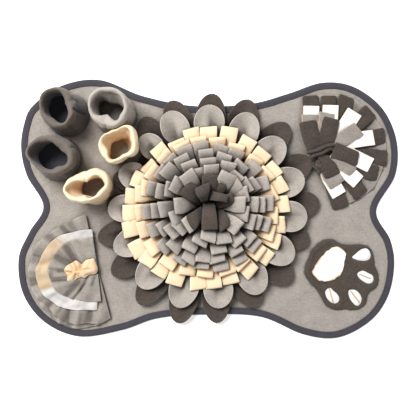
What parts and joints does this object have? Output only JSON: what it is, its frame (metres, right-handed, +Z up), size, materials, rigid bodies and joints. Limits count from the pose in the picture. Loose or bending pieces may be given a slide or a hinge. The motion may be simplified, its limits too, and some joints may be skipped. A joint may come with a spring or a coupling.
{
  "type": "snuffle mat",
  "caption": "Bone-shaped flat fleece mat with a bound edge, carrying standing rolled-rim cups, a flower of petals and loops, a gathered ruffle fan, a fringe fan and a paw.",
  "frame": {"origin": "middle of the mat's underside, on the surface it lies on", "axes": "+X along the bone's length, to the right in the picture; +Y to the picture's top; +Z up out of the mat"},
  "size_m": [0.6998, 0.4773, 0.076],
  "materials": {
    "mat_fleece": "matt brushed fleece, warm light grey",
    "grey_fleece": "matt brushed fleece, warm mid grey",
    "dark_fleece": "matt brushed fleece, dark brown grey",
    "cream_fleece": "matt brushed fleece, cream",
    "white_fleece": "matt brushed fleece, white with tan cut edges",
    "binding_tape": "fine plain-weave tape, dark slate"
  },
  "bodies": {
    "root": {"base_mat": "mat_fleece", "edge_binding": "binding_tape", "cup_dark_back": "dark_fleece", "cup_grey": "grey_fleece", "cup_dark_front": "dark_fleece", "cup_cream_inner": "cream_fleece", "cup_cream_outer": "cream_fleece", "loops_cream_outer": "cream_fleece", "loops_cream_inner": "cream_fleece", "loops_grey_1": "grey_fleece", "loops_grey_2": "grey_fleece", "loops_grey_3": "grey_fleece", "loops_grey_4": "grey_fleece", "loops_dark": "dark_fleece", "ruffle_bottom": "grey_fleece", "ruffle_second": "grey_fleece", "ruffle_cream": "cream_fleece", "ruffle_inner": "grey_fleece", "ruffle_rosette": "cream_fleece", "fringe_backing": "grey_fleece", "fringe_dark": "dark_fleece", "fringe_white": "white_fleece", "fringe_grey": "grey_fleece", "fringe_top": "dark_fleece", "paw_underlay": "white_fleece", "paw_top": "dark_fleece", "paw_pad": "white_fleece", "petal_dark_01": "dark_fleece", "petal_dark_02": "dark_fleece", "petal_dark_03": "dark_fleece", "petal_dark_04": "dark_fleece", "petal_dark_05": "dark_fleece", "petal_dark_06": "dark_fleece", "petal_dark_07": "dark_fleece", "petal_dark_08": "dark_fleece", "petal_dark_09": "dark_fleece", "petal_dark_10": "dark_fleece", "petal_dark_11": "dark_fleece", "petal_dark_12": "dark_fleece", "petal_dark_13": "dark_fleece", "petal_dark_14": "dark_fleece", "petal_dark_15": "dark_fleece", "petal_dark_16": "dark_fleece", "petal_dark_17": "dark_fleece", "petal_dark_18": "dark_fleece", "petal_grey_01": "grey_fleece", "petal_grey_02": "grey_fleece", "petal_grey_03": "grey_fleece", "petal_grey_04": "grey_fleece", "petal_grey_05": "grey_fleece", "petal_grey_06": "grey_fleece", "petal_grey_07": "grey_fleece", "petal_grey_08": "grey_fleece", "petal_grey_09": "grey_fleece", "petal_grey_10": "grey_fleece", "petal_grey_11": "grey_fleece", "petal_grey_12": "grey_fleece", "petal_grey_13": "grey_fleece", "petal_grey_14": "grey_fleece", "petal_grey_15": "grey_fleece"}
  },
  "joints": []
}
